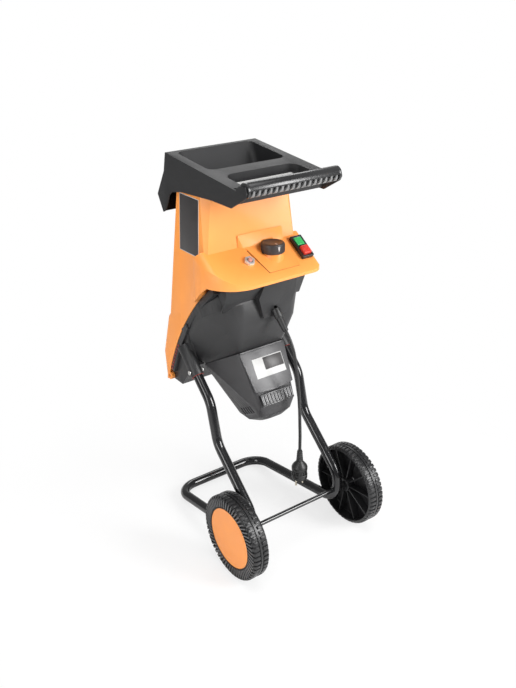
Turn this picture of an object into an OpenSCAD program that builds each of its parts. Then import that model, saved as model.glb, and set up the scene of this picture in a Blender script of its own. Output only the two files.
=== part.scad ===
// Electric garden shredder on a two-wheeled tube stand.
// Modelled with y running to the back from the wheel axle, z up from the ground and x across,
// then moved so that the origin is under the middle of the machine.

/* [Wheels] */
// Outside diameter of the wheels
wheel_d = 190; // [176:1:204]
// Width of a wheel
wheel_w = 40; // [36:1:46]
// Length of the spacers between the legs and the wheels
spacer_len = 10; // [8:1:16]
// Diameter of the hub caps
cap_d = 135; // [120:1:145]
// Diameter of the axle rod
axle_d = 10; // [8:0.5:12]

/* [Stand] */
// Outside diameter of the stand tube
tube_d = 22; // [20:0.5:23]
// Wall of the stand tube
tube_wall = 1.5; // [1:0.1:2]
// Distance between the centre lines of the two legs
leg_span = 240; // [238:1:246]
// Bend radius of the elbow that carries the axle
elbow_r = 54; // [48:1:58]
// Bend radius of the two knees of a leg
knee_r = 60; // [45:1:70]
// Bend radius of the rear corners of the base
corner_r = 48; // [40:1:60]
// Reach of the back bar behind the axle
base_reach = 316; // [300:1:326]

/* [Lower housing] */
// Wall of the plastic shells
wall = 3; // [2.5:0.1:3.5]
// Lean of the motor shaft from upright
motor_tilt = 30; // [29:0.5:31]
// Width of the cutting chamber outside
chamber_w = 238; // [234:1:240]
// Width of the front of the motor cover at its open end
cover_w = 124; // [118:1:126]
// Length of the motor cover without its domed end
cover_len = 125; // [122:1:132]
// Outside diameter of a leg socket
socket_d = 28; // [27:0.5:30]
// Depth of a leg socket
socket_depth = 70; // [60:1:74]
// Radius of the curved joint between the housings, seen from the side
joint_r = 540; // [520:5:570]

/* [Cutter and motor] */
// Diameter of the blade disc
disc_d = 184; // [170:1:186]
// Thickness of the blade disc
disc_t = 6; // [5:0.5:7]
// Diameter of the motor shaft
shaft_d = 12; // [10:0.5:13]
// Outside diameter of the stator
stator_d = 76; // [70:1:78]
// Diameter of the armature
armature_d = 48; // [44:1:50]
// Length of the stator and armature stacks
stack_len = 65; // [55:1:68]

/* [Upper housing] */
// Width of the column under the hopper
column_w = 214; // [208:1:215]
// Depth of the column under the hopper
column_depth = 100; // [98:1:103]
// Width of the control shelf
shelf_w = 260; // [254:1:268]
// Slope of the control shelf
shelf_tilt = 34; // [32:0.5:35]
// Diameter of the locking knob
knob_d = 50; // [44:1:51]
// Height of the locking knob
knob_h = 21; // [18:0.5:23]

/* [Hopper] */
// How far the hopper stands out beyond each side of the column
hopper_over = 5; // [4.5:0.5:8]
// Height of the rear edge of the hopper above the ground
rim_h = 846; // [842:1:852]
// Slope of the hopper rim down to the front
rim_tilt = 5.8; // [5.2:0.1:6.4]
// Diameter of the carry handle
handle_d = 29; // [25:0.5:30]

/* [Mains lead] */
// Diameter of the mains cord
cord_d = 7; // [6.5:0.1:7.5]
// Diameter of the plug
plug_d = 36; // [33:0.5:38]
// Diameter of a plug pin
plug_pin_d = 4.8; // [4:0.1:5]

/* [Hidden] */
$fn = 48;

// Colours
orange = "#f39a45";
charcoal = "#38383a";
black = "#1c1c1e";
grey = "#4a494b";
steel = "#b9bcc0";
copper = "#b06a3a";
red = "#d8453b";
green = "#3fb264";
brass = "#c9a44c";

// Small clearances: a running fit, a loose fit and the gap between the two housings
run_gap = 0.08;
fit_gap = 0.25;
joint_gap = 1.6;
eps = 0.02;
// How far straight tube runs into a bend, and how much thinner it is there on each side
lap = 1;
hair = 0.05;
// Thickness of the slices that the drawn-out shells are spanned between
slice = 0.5;
// Lengths that reach right through a piece, or past the whole machine
wide = 400;
tall = 900;

// Wheels and axle
wheel_r = wheel_d / 2;
hub_r = axle_d / 2 + 11;
web_at = 4;
web_t = 4;
hub_in = wheel_w / 2 - 2;
track = leg_span + tube_d + 2 * (spacer_len + 2 * fit_gap + hub_in);
cap_t = 4;
cap_at = wheel_w / 2 - cap_t - 1;
rim_r = cap_d / 2 + fit_gap;
tyre_in = wheel_r - 9;
rib_n = 10;
rib_t = 3;
nut_t = 2.5;
axle_end = web_at + web_t + nut_t + 2.5;

// Stand: points of a leg in the side view, from the socket down to the ground
leg_x = leg_span / 2;
socket_mouth = [194, 382];
knee_top = [147, 337.5];
knee_low = [123, 245];
leg_dir = unit(socket_mouth - knee_top);
leg_top = socket_mouth + socket_depth * leg_dir;
base_back = [base_reach, tube_d / 2];
elbow_aim = 16;
elbow_c = [elbow_r * cos(elbow_aim), wheel_r + elbow_r * sin(elbow_aim)];
elbow_p = crossing(knee_low, tangent_dir(knee_low, elbow_c, elbow_r, -1),
    base_back, tangent_dir(base_back, elbow_c, elbow_r, 1));
base_dir = unit(base_back - elbow_p);
elbow_end = elbow_p + base_dir * elbow_r * tan(abs(bend_angle(knee_low, elbow_p, base_back)) / 2);
base_len = norm(base_back - elbow_end) + lap;
base_pitch = atan2(base_dir[1], base_dir[0]);

// Cutter: the middle of the blade disc, and heights along the shaft above it
disc_y = 207;
disc_z = 490;
floor_t = -22;
bearing_t = [-37, -27];
bearing_d = 32;
fan_t = [-60, -46];
fan_d = stator_d - 8;
stack_t = [-75 - stack_len, -75];
commutator_t = [-172, -152];
end_plate_t = [-190, -182];
tail_bearing_d = 26;
tail_bearing_t = [-189, -181];
tail_d = shaft_d - 2;
shaft_low = -192;
barrel_r = stator_d / 2 + fit_gap;
barrel_wall = 2.5;
blade_t = 5;
blade_top = disc_t / 2 + blade_t;

// Half width of the rear of the motor cover, which stays clear of the leg bolts
cover_rear = leg_x - socket_d / 2 - 12;
// Sections of the lower housing across the shaft: height, half width in front, half width at the
// rear, front, rear, corner
bowl = [[14, chamber_w / 2, chamber_w / 2, 116, 120, 70],
    [-32, chamber_w / 2 - 33, chamber_w / 2 - 6, 98, 104, 30],
    [-66, cover_w / 2 + 6, cover_rear + 6, 64, 66, 16],
    [-80, cover_w / 2 - 2, cover_rear - 2, 46, 52, 10]];
// Sections of the motor cover, from its open end down to the dome
neck_t = bowl[3][0] - slice - fit_gap;
cover_low = neck_t - cover_len;
cover = [[neck_t, cover_w / 2, cover_rear, 48, 54, 9],
    [cover_low, cover_w / 2 - 12, cover_w / 2 - 11, 45, 49, 14],
    [cover_low - 20, cover_w / 2 - 21, cover_w / 2 - 21, 36, 40, 20],
    [cover_low - 29, cover_w / 2 - 38, cover_w / 2 - 38, 20, 23, 16]];
cover_wall = 2.5;
slot_n = 9;
slot_pitch = 8.5;
side_slot_n = 5;
side_slot_pitch = 9;
cover_screw_x = cover_w / 2 - 2;
cover_screw_v = 50;
tongue_x = 20;
tongue_w = 16;
tongue_h = 7;
tongue_v = wall + fit_gap - bowl[3][3];
chamber_low = [floor_t, chamber_w / 2 - 30, chamber_w / 2 - 8, 100, 104, 50];
barrel_low = [floor_t - wall, chamber_low[1], chamber_low[2], chamber_low[3] - 6, chamber_low[4], 40];

// Joint between the housings in the side view: level in front, then an arc down to the hinge
joint_y = 134;
joint_z = 605;
hinge = [306, 338];
joint_chord = hinge - [joint_y, joint_z];
joint_c = [joint_y, joint_z] + joint_chord / 2
    - sqrt(pow(joint_r, 2) - pow(norm(joint_chord) / 2, 2)) * left(unit(joint_chord));
joint_from = atan2(joint_z - joint_c[1], joint_y - joint_c[0]);
joint_to = 12;
joint_steps = 20;
joint_tail = 240;
flange_to = 18.2;
flange_h = 14;
flange_in = 14;
hinge_pin_d = 6;
ear_d = 18;
ear_t = 9;
side_x = chamber_w / 2 - 1;
ear_x = side_x + 0.6;

// Brow over the motor in the side view, and the interlock switch behind it
brow = [[122, 549], [104, 590], [104, joint_z - joint_gap / 2], [146, joint_z - joint_gap / 2]];
brow_w = 200;
interlock_z = 588.5;

// Rear chute of the lower housing in the side view
chute_floor = [[240, 437], [254, 428], [303, 332]];
chute_room = [[240, 433], [252, 424], [298, 333], [269, 333], [229, 387]];
chute_under = [[307, 330], [266, 330], [220, 392], [232, 470], [307, 470]];

// Column: height of its ends and how its sides spread downwards
column_top = rim_h - 56;
column_low = 326;
column_front = 162;
joint_front = 151.5;
front_lean = (column_front - joint_front) / (column_top - joint_z);
side_lean = (side_x + ear_t + 2 - column_w / 2) / (column_top - hinge[1]);
corner_cut = 15.5;
corner_least = 1;

// Hood over the discharge: height, rear face
hood = [[508, 291.3], [484, 312], [392, 333], [340, 320]];
hood_back = hood[3][1];
hood_front = 240;
hood_corner = 12;
rear_lean = (hood[0][1] + 2.7 - column_front - column_depth) / (column_top - hood[0][0]);
discharge_w = 180;
discharge_top = 420;

// Control shelf
shelf_front = [83, 618];
shelf_back = [162, shelf_front[1] + (162 - shelf_front[0]) * tan(shelf_tilt)];
lip = [76, 612];
shelf_corner = 26;
shelf_sweep = 80;
shelf_round = 16;
cheek_front = 173;
cheek_back = 240;
cheek_low = 590;

// Console with the locking knob
console_back = column_y(shelf_back[1])[0] - 0.85;
console_top = 692.5;
console_x = [-36, 76];
console_front_x = [0, 77];
console_front = 92;
console_step = [17, 9];
knob_at = [35, 129];
pocket_d = knob_d + 2;
knob_base = 651;
knob_seat = knob_base - 0.5;
knob_clear = knob_base + knob_h + 1.5;
bolt_d = 8;
bolt_low = 596;
keeper_t = 4;
keeper_slot_len = 40;
keeper_z = joint_z - joint_gap / 2 - wall;

// Switch and breaker, as places on the shelf: across, and up the slope
switch_at = [103.5, 49];
switch_w = 28;
switch_l = 57;
switch_h = 9;
switch_deep = 26;
switch_neck = [22, 50];
switch_floor = -6;
button_w = 19;
button_l = 20;
button_gap = 0.4;
button_travel = 3;
button_low = switch_floor + button_travel + fit_gap;
start_at = 13;
stop_at = -13;
reset_at = [-30, 47.5];
nut_w = 23;
nut_h = 6;
reset_d = 9;
breaker_w = 18;
breaker_l = 24;
breaker_deep = 26;

// Hopper in the side view
hopper_w = column_w + 2 * hopper_over;
hopper_wall = 3;
rim_back = [296, rim_h];
hopper_side = [for (p = [[-262, -15], [-252, -252 * tan(rim_tilt)], [0, 0], [9, -39], [41, -93], [21, -128],
    [11, -123], [-8, -85], [-17, -78], [-55, -70], [-166, -62], [-235, -62], [-247, -55], [-281, -35],
    [-286, -26], [-282, -14]]) rim_back + p];
hopper_back = [for (p = [[-240, -240 * tan(rim_tilt)], [0, 0], [9, -39], [41, -93], [22, -127]])
    rim_back + p];
hopper_front = [for (p = [[-230, -59], [-238, -46], [-239, -31]]) rim_back + p];
rim_cut = 250;
mouth_edge = 20;
mouth_w = hopper_w - 2 * mouth_edge;
mouth_y = [-136, -9];
mouth_corner = 16;
throat_edge = 21;
throat_w = column_w - 2 * throat_edge;
throat_y = [174, 252];
throat_z = column_top - 4;
tray_edge = 27;
tray_w = hopper_w - 2 * tray_edge;
tray_y = [-240, -171];
tray_depth = 18;
tray_open = 60;
tray_corner = 22;
seat_z = column_top + fit_gap;
handle_at = [22, rim_h - 22];
handle_len = hopper_w - 2 * hopper_wall - 2 * fit_gap;
chute_exit_w = 116;
chute_exit_v = [-70, -22];
chute_exit_t = blade_top + 2.5;
chute_back = in_shaft([throat_y[1], column_top]);
screw_d = 5;
tab_t = 4;
flange_t = 3;
flange_top = column_top - tab_t - fit_gap;
fixing_x = column_w / 2 - wall - 5;
fixing_y = [column_front + 26, column_front + column_depth - 14];

// Mains lead: the strain relief leaves the cable block, the cord hangs from it
gland_at = [19, 100, 536];
gland_dir = [0.04, -0.66, -0.75];
gland_len = 52;
relief_d = 11;
plug_top = 212;
cord_route = [gland_at + (gland_len + fit_gap) * unit(gland_dir),
    gland_at + (gland_len + 10) * unit(gland_dir), [23.5, 49, 471], [26, 42, 447], [28, 39, 420],
    [31, 37, 395], [33, 36, 370], [35, 36, 340], [37, 36, 310], [38, 36, 280], [39, 36, 250],
    [39, 36, 230], [39, 36, plug_top + eps]];
cord_end = cord_route[len(cord_route) - 1];
cord_sides = 10;
plug_neck = 34;
plug_face = 140;
plug_pin_len = 19;
plug_pin_gap = 19;

// The origin is under the middle of the machine, from the front of the wheels to the rearmost piece
y_mid = (max(hopper_back[3][0], base_reach + tube_d / 2) - wheel_r) / 2;

// Vectors and paths in the side view
function unit(v) = v / norm(v);
function left(v) = [-v[1], v[0]];
function turned(v, a) = [v[0] * cos(a) - v[1] * sin(a), v[0] * sin(a) + v[1] * cos(a)];
function tangent_dir(p, c, r, side) = turned(unit(c - p), side * asin(r / norm(c - p)));
function crossing(p, d, q, e) =
    p + d * ((q - p)[0] * e[1] - (q - p)[1] * e[0]) / (d[0] * e[1] - d[1] * e[0]);
function bend_angle(a, b, c) = let (d = unit(b - a), e = unit(c - b))
    atan2(d[0] * e[1] - d[1] * e[0], d * e);
function shifted(pts, d) = [for (i = [0:len(pts) - 1])
    let (a = unit(pts[max(i, 1)] - pts[max(i, 1) - 1]),
        b = unit(pts[min(i + 1, len(pts) - 1)] - pts[min(i + 1, len(pts) - 1) - 1]),
        n = unit(left(a) + left(b)))
    pts[i] + n * d / (n * left(a))];
function strip(pts, d) = let (other = shifted(pts, d))
    concat(pts, [for (i = [len(pts) - 1:-1:0]) other[i]]);
function joint_arc(gap, to) = [for (i = [0:joint_steps])
    let (a = joint_from + (to - joint_from) * i / joint_steps)
    joint_c + (joint_r - gap) * [cos(a), sin(a)]];
function joint_line(gap) = concat([[-wide, joint_z - gap]], joint_arc(gap, joint_to));
function in_shaft(p) = let (d = p - [disc_y, disc_z])
    [d[0] * cos(motor_tilt) - d[1] * sin(motor_tilt), d[0] * sin(motor_tilt) + d[1] * cos(motor_tilt)];
function shelf_z(y) = shelf_front[1] + (y - shelf_front[0]) * tan(shelf_tilt);
function column_half(z) = column_w / 2 + side_lean * (column_top - z);
function column_y(z) = [column_front - front_lean * (column_top - z),
    column_front + column_depth + rear_lean * (column_top - z)];
function column_cut(z) = max(corner_least, corner_cut * (z - joint_z) / (column_top - joint_z));

// Frames: the whole machine, a side view spread over x, the shaft, the shelf and the rim
module placed() translate([0, -y_mid, 0]) children();
module across(w) rotate([90, 0, 90]) linear_extrude(w, center = true) children();
module at_side(x) translate([x, 0, 0]) rotate([90, 0, 90]) children();
module at_shaft() translate([0, disc_y, disc_z]) rotate([-motor_tilt, 0, 0]) children();
module at_shelf(p) translate([0, shelf_front[0], shelf_front[1]]) rotate([shelf_tilt, 0, 0])
    translate([p[0], p[1], 0]) children();
module at_rim() translate([0, rim_back[0], rim_back[1]]) rotate([rim_tilt, 0, 0]) children();
module both_sides() for (s = [0, 1]) mirror([s, 0, 0]) children();

// Plain shapes used by several pieces
module rounded(x, y, r) {
    translate([x[0] + r, y[0]]) square([x[1] - x[0] - 2 * r, y[1] - y[0]]);
    translate([x[0], y[0] + r]) square([x[1] - x[0], y[1] - y[0] - 2 * r]);
    for (cx = [x[0] + r, x[1] - r], cy = [y[0] + r, y[1] - r]) translate([cx, cy]) circle(r);
}
module section(s, inset) rounded([-s[1] + inset, s[1] - inset], [-s[3] + inset, s[4] - inset],
    s[5] - inset, $fn = 32);
// Four short posts, from which a hull makes a section with a narrow front and a wide rear
module posts(s, inset) for (m = [-1, 1]) {
    translate([m * (s[1] - s[5]), s[5] - s[3], s[0]]) cylinder(r = s[5] - inset, h = slice, $fn = 32);
    translate([m * (s[2] - s[5]), s[4] - s[5], s[0]]) cylinder(r = s[5] - inset, h = slice, $fn = 32);
}
module rod(t, d) translate([0, 0, t[0]]) cylinder(d = d, h = t[1] - t[0]);
module ring(t, d, bore) difference() {
    rod(t, d);
    rod([t[0] - 1, t[1] + 1], bore);
}
module below_joint(gap) polygon(concat(joint_line(gap),
    [[joint_line(gap)[joint_steps + 1][0], 0], [-wide, 0]]));
module above_joint(gap) polygon(concat(joint_line(gap),
    [[2 * wide, joint_tail], [2 * wide, tall], [-wide, tall]]));

// A bent tube drawn in the plane of its path. The straight lengths are a hair thinner than the bends
// and run a little way into them.
module bent_tube(pts, radii, d) {
    last = len(pts) - 1;
    turns = [for (i = [1:last - 1]) bend_angle(pts[i - 1], pts[i], pts[i + 1])];
    trims = [for (i = [0:last]) i == 0 || i == last ? 0
        : radii[i - 1] * tan(abs(turns[i - 1]) / 2) - lap];
    for (i = [0:last - 1]) {
        way = unit(pts[i + 1] - pts[i]);
        translate(pts[i] + way * trims[i]) rotate([0, 0, atan2(way[1], way[0])]) rotate([0, 90, 0])
            cylinder(d = d - 2 * hair, h = norm(pts[i + 1] - pts[i]) - trims[i] - trims[i + 1]);
    }
    for (i = [1:last - 1]) {
        way = unit(pts[i] - pts[i - 1]);
        hand = sign(turns[i - 1]);
        middle = pts[i] - way * (trims[i] + lap) + left(way) * hand * radii[i - 1];
        from = atan2(way[1], way[0]) - 90 * hand;
        translate(middle) rotate([0, 0, hand > 0 ? from : from + turns[i - 1]])
            rotate_extrude(angle = abs(turns[i - 1])) translate([radii[i - 1], 0]) circle(d = d);
    }
}

// Stand
module stand_run(d) {
    for (x = [-leg_x, leg_x]) at_side(x)
        bent_tube([leg_top, knee_top, knee_low, elbow_p, elbow_end], [knee_r, knee_r, elbow_r], d);
    translate([0, base_back[0], base_back[1]]) rotate([base_pitch, 0, 0])
        bent_tube([[-leg_x, -base_len], [-leg_x, 0], [leg_x, 0], [leg_x, -base_len]],
            [corner_r, corner_r], d);
}
module stand_tube() color(black) difference() {
    stand_run(tube_d);
    stand_run(tube_d - 2 * tube_wall);
    at_axle() rod([-track, track], axle_d + 2 * run_gap);
    leg_bolt_line() rod([-socket_d, socket_d], screw_d + 2 * fit_gap);
}
module at_axle() translate([0, 0, wheel_r]) rotate([0, 90, 0]) children();
module at_wheel() translate([track / 2, 0, 0]) at_axle() children();
module axle() color(steel) at_axle() rod([-track / 2 - axle_end, track / 2 + axle_end], axle_d);
module axle_spacers() color(black) both_sides() at_axle()
    ring([leg_x + tube_d / 2 + fit_gap, track / 2 - hub_in - fit_gap], axle_d + 8, axle_d + 2 * fit_gap);
module push_nuts() color(steel) both_sides() at_wheel()
    ring([web_at + web_t + fit_gap, web_at + web_t + fit_gap + nut_t], axle_d + 10, axle_d + 2 * fit_gap);

// A wheel: tread ring with a web, a hub and ribs on the inner face
module wheel() at_wheel() difference() {
    union() {
        rotate_extrude($fn = 96) polygon([[tyre_in, -wheel_w / 2], [wheel_r - 5, -wheel_w / 2],
            [wheel_r, -wheel_w / 2 + 4], [wheel_r, wheel_w / 2 - 4], [wheel_r - 5, wheel_w / 2],
            [rim_r, wheel_w / 2], [rim_r, cap_at], [rim_r - 4, cap_at], [rim_r - 4, web_at],
            [tyre_in, web_at]]);
        rod([web_at, web_at + web_t], 2 * rim_r);
        rod([-hub_in, web_at + web_t], 2 * hub_r);
        for (i = [0:rib_n - 1]) rotate(i * 360 / rib_n) translate([hub_r - 1, -rib_t / 2, -wheel_w / 2 + 6])
            cube([tyre_in - hub_r + 2, rib_t, wheel_w / 2 - 6 + web_at + 1]);
    }
    rod([-wheel_w, wheel_w], axle_d + 2 * run_gap);
}
module hub_cap() at_wheel() rod([cap_at + eps, cap_at + cap_t], cap_d);
module right_wheel() color(black) wheel();
module left_wheel() color(black) mirror([1, 0, 0]) wheel();
module right_hub_cap() color(orange) hub_cap();
module left_hub_cap() color(orange) mirror([1, 0, 0]) hub_cap();

// Bolts across the leg sockets
module leg_bolt_line() both_sides() translate([leg_x, 0, 0]) at_side(0)
    translate(socket_mouth + 12 * leg_dir) children();
module leg_bolts() color(steel) leg_bolt_line() {
    rod([-socket_d / 2 - 5, socket_d / 2 + 3], screw_d);
    rod([-socket_d / 2 - 5, -socket_d / 2 - fit_gap], 2 * screw_d);
    rod([socket_d / 2 + fit_gap, socket_d / 2 + 3], 2 * screw_d);
}

// Lower housing
module bowl_skin() at_shaft() {
    for (i = [0:2]) hull() {
        posts(bowl[i], 0);
        posts(bowl[i + 1], 0);
    }
    translate([0, 0, bowl[0][0]]) linear_extrude(150) section(bowl[0], 0);
}
module bowl_rooms() at_shaft() {
    hull() {
        posts(chamber_low, wall);
        posts(bowl[0], wall);
    }
    translate([0, 0, bowl[0][0]]) linear_extrude(160) section(bowl[0], wall);
    hull() {
        posts(barrel_low, wall);
        posts(bowl[2], wall);
    }
    hull() {
        posts(bowl[2], wall);
        translate([0, 0, -1]) posts(bowl[3], wall);
    }
}
module rear_chute() difference() {
    across(2 * side_x) polygon(chute_under);
    across(2 * side_x - 2 * wall) polygon(chute_room);
}
module front_brow() {
    across(brow_w) polygon(strip(brow, -wall));
    both_sides() translate([brow_w / 2 - wall / 2, 0, 0]) across(wall) polygon(concat(brow, [[118, 566]]));
}
module cable_block() difference() {
    translate([0, 118, 0]) rotate([90, 0, 0]) linear_extrude(18)
        polygon([[-5, 602], [-22, 567], [-10, 522], [50, 522], [70, 560], [78, 602]]);
    across(brow_w - 2 * wall) polygon(concat(shifted(brow, -wall), [[146, 552]]));
}
module socket_line() for (x = [-leg_x, leg_x]) at_side(x) translate(socket_mouth)
    rotate([0, 0, atan2(leg_dir[1], leg_dir[0])]) rotate([0, 90, 0]) children();
module hinge_line() both_sides() translate([0, hinge[0], hinge[1]]) rotate([0, 90, 0]) children();
// Ribs that tie the leg sockets to the sides, and flanges that follow the joint
module socket_webs() both_sides() at_side(side_x - wall) linear_extrude(leg_x - side_x + wall) polygon([
    for (p = [[22, 8], [socket_depth, 8], [socket_depth, -8], [22, -8]])
    socket_mouth + p[0] * leg_dir + p[1] * left(leg_dir)]);
module joint_flanges() both_sides() translate([column_w / 2, 0, column_top]) rotate([0, -atan(side_lean), 0])
    at_side(-flange_in) linear_extrude(flange_in - 0.5) translate([0, -column_top])
    polygon(strip(joint_arc(joint_gap / 2, flange_to), -flange_h));
module keeper_slot(z0, z1) translate([knob_at[0] - bolt_d / 2 - 1, knob_at[1] - bolt_d / 2 - 1, z0])
    cube([bolt_d + 2, keeper_slot_len, z1 - z0]);
module lower_housing() color(charcoal) difference() {
    union() {
        difference() {
            union() {
                bowl_skin();
                rear_chute();
            }
            bowl_rooms();
            across(2 * side_x - 2 * wall) polygon(concat(chute_floor, [[360, 332], [360, 600], [240, 600]]));
            across(wide) above_joint(joint_gap / 2);
        }
        front_brow();
        cable_block();
        socket_line() rod([0, socket_depth + 5], socket_d);
        socket_webs();
        joint_flanges();
        at_shaft() {
            rod([stack_t[0], floor_t - wall + eps], 2 * barrel_r + 2 * barrel_wall);
            rod([bearing_t[0] - 2, floor_t - eps], bearing_d + 8);
        }
        cover_screw_line() rod([bowl[3][0], bowl[3][0] + 12], 9);
        hinge_line() rod([side_x - 14, side_x], ear_d - 2);
        at_knob() rod([578, keeper_z], 24);
    }
    socket_line() rod([-1, socket_depth], tube_d + 2 * fit_gap);
    leg_bolt_line() rod([-socket_d, socket_d], screw_d + 2 * fit_gap);
    at_shaft() {
        rod([stack_t[0] - 1, bearing_t[0] - 2 - eps], 2 * barrel_r);
        rod([bearing_t[0] - 3, bearing_t[1]], bearing_d + 2 * run_gap);
        rod([bearing_t[1] - 1, floor_t + 1], shaft_d + 6);
    }
    hinge_line() rod([side_x - 20, side_x + 1], hinge_pin_d + 2 * run_gap);
    cover_screw_line() rod([neck_t - 1, neck_t + 10], screw_d - 1.5 + eps);
    keeper_slot(bolt_low - 8, joint_z);
    at_gland() rod([-20, 8], relief_d);
    at_gland() rod([0, 30], relief_d + 8 + 2 * fit_gap);
}
module at_gland() translate(gland_at)
    rotate([0, acos(gland_dir[2] / norm(gland_dir)), atan2(gland_dir[1], gland_dir[0])]) children();

// Motor cover with cooling slots in its front and at its sides
module cover_slot(l, w) linear_extrude(60, center = true) {
    square([w, l - w], center = true);
    for (s = [-1, 1]) translate([0, s * (l - w) / 2]) circle(d = w, $fn = 24);
}
module cover_skin() at_shaft() hull() for (s = cover) posts(s, 0);
module motor_cover() color(grey) difference() {
    union() {
        difference() {
            cover_skin();
            at_shaft() hull() {
                translate([0, 0, 1]) posts(cover[0], cover_wall);
                posts(cover[1], cover_wall);
                translate([0, 0, cover_wall]) posts(cover[2], cover_wall);
            }
        }
        intersection() {
            cover_skin();
            cover_screw_line() rod([neck_t - 60, neck_t], 12);
        }
        at_shaft() both_sides() at_side(tongue_x) linear_extrude(tongue_w) translate([tongue_v, neck_t])
            polygon([[-4, -tongue_h], [cover_wall, -tongue_h], [cover_wall, tongue_h], [0, tongue_h],
                [0, -slice], [-4, -slice]]);
    }
    at_shaft() for (i = [0:slot_n - 1]) translate([(i - (slot_n - 1) / 2) * slot_pitch, -50, cover_low + 14])
        rotate([90, 0, 0]) cover_slot(22, 4);
    at_shaft() both_sides() for (i = [0:side_slot_n - 1])
        translate([50, -16 + i * side_slot_pitch, cover_low + 2]) rotate([90, 0, 90]) cover_slot(18, 4);
    cover_screw_line() {
        rod([neck_t - 20, neck_t + 2], screw_d - 1);
        rod([neck_t - 80, neck_t - 10], 9);
    }
}
module cover_screw_line() at_shaft() for (x = [-cover_screw_x, cover_screw_x])
    translate([x, cover_screw_v, 0]) children();
module cover_screws() color(steel) cover_screw_line() {
    rod([neck_t - 13, neck_t + 8], screw_d - 1.5);
    rod([neck_t - 13, neck_t - 10 - eps], 8);
}

// Locking and hinge pieces of the lower housing
module lock_keeper() color(steel) difference() {
    translate([knob_at[0] - 15, knob_at[1] - 20, keeper_z + wall + eps]) cube([30, 34, keeper_t]);
    keeper_slot(keeper_z - 1, keeper_z + wall + keeper_t + 1);
}
module interlock_switch() color(black) translate([knob_at[0] - 10, knob_at[1] - 20, interlock_z])
    cube([20, 7.8, 12]);
module hinge_pins() color(steel) hinge_line() rod([side_x - 18, ear_x + 8], hinge_pin_d);

// Mains lead
module strain_relief() color(black) at_gland() {
    rod([0.2, 6], relief_d + 8);
    translate([0, 0, 6 - eps]) cylinder(d1 = relief_d + 4, d2 = relief_d, h = gland_len - 6 + eps);
    rod([-8, 0.2 + eps], relief_d - 2 * fit_gap);
}
function route_way(i) = unit(cord_route[min(i + 1, len(cord_route) - 1)] - cord_route[max(i - 1, 0)]);
function ring_at(i) = let (w = route_way(i), a = unit(cross(w, [1, 0, 0])), b = cross(w, a))
    [for (k = [0:cord_sides - 1]) cord_route[i] + cord_d / 2
        * (a * cos(k * 360 / cord_sides) + b * sin(k * 360 / cord_sides))];
module power_cord() color(black) {
    n = len(cord_route);
    polyhedron([for (i = [0:n - 1]) each ring_at(i)], concat(
        [[for (k = [0:cord_sides - 1]) k]],
        [for (i = [0:n - 2], k = [0:cord_sides - 1]) let (m = (k + 1) % cord_sides)
            each [[i * cord_sides + k, (i + 1) * cord_sides + k, i * cord_sides + m],
                [i * cord_sides + m, (i + 1) * cord_sides + k, (i + 1) * cord_sides + m]]],
        [[for (k = [cord_sides - 1:-1:0]) (n - 1) * cord_sides + k]]));
}
module at_plug() translate([cord_end[0], cord_end[1], 0]) children();
module plug_body() color(black) at_plug() {
    rod([plug_top - plug_neck, plug_top], 15);
    translate([0, 0, plug_top - plug_neck - 8]) cylinder(d1 = plug_d, d2 = 20, h = 10);
    rod([plug_face, plug_top - plug_neck - 8 + eps], plug_d);
}
module plug_pins() color(brass) at_plug() for (s = [-1, 1]) translate([s * plug_pin_gap / 2, 0, 0])
    rod([plug_face - plug_pin_len, plug_face - eps], plug_pin_d);

// Motor
module stator() color(steel) at_shaft() ring(stack_t, stator_d, armature_d + 2);
module brush_holders() color(brass) at_shaft() for (s = [-1, 1])
    translate([s * 26 - 9, -5, commutator_t[0] + 5]) cube([18, 10, 10]);
module motor_end_plate() color(steel) at_shaft() difference() {
    union() {
        rod(end_plate_t, 2 * barrel_r + 2 * barrel_wall);
        ring([end_plate_t[1] - eps, stack_t[0] - fit_gap], 2 * barrel_r + 2 * barrel_wall, 2 * barrel_r - 4);
    }
    rod([end_plate_t[0] - 1, tail_bearing_t[1] + fit_gap], tail_bearing_d + 2 * run_gap);
    rod([end_plate_t[0] - 1, end_plate_t[1] + 1], tail_d + 6);
}
module upper_bearing() color(steel) at_shaft() ring(bearing_t, bearing_d, shaft_d + 2 * run_gap);
module lower_bearing() color(steel) at_shaft() ring(tail_bearing_t, tail_bearing_d, tail_d + 2 * run_gap);
module motor_shaft() color(steel) at_shaft() {
    rod([tail_bearing_t[1] + 1, disc_t / 2], shaft_d);
    rod([shaft_low, tail_bearing_t[1] + 1 + eps], tail_d);
    rod([floor_t + 4, -disc_t / 2 - eps], shaft_d + 16);
}
module armature() color(copper) at_shaft() ring([stack_t[0] - 4, stack_t[1] + 4], armature_d, shaft_d + eps);
module commutator() color(copper) at_shaft() ring(commutator_t, 32, shaft_d + eps);
module cooling_fan() color(black) at_shaft() {
    ring([fan_t[0], fan_t[0] + 2], fan_d, shaft_d + eps);
    ring(fan_t, 24, shaft_d + eps);
    for (i = [0:9]) rotate(i * 36) translate([11, -1, fan_t[0]])
        cube([fan_d / 2 - 12, 2, fan_t[1] - fan_t[0]]);
}

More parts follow.
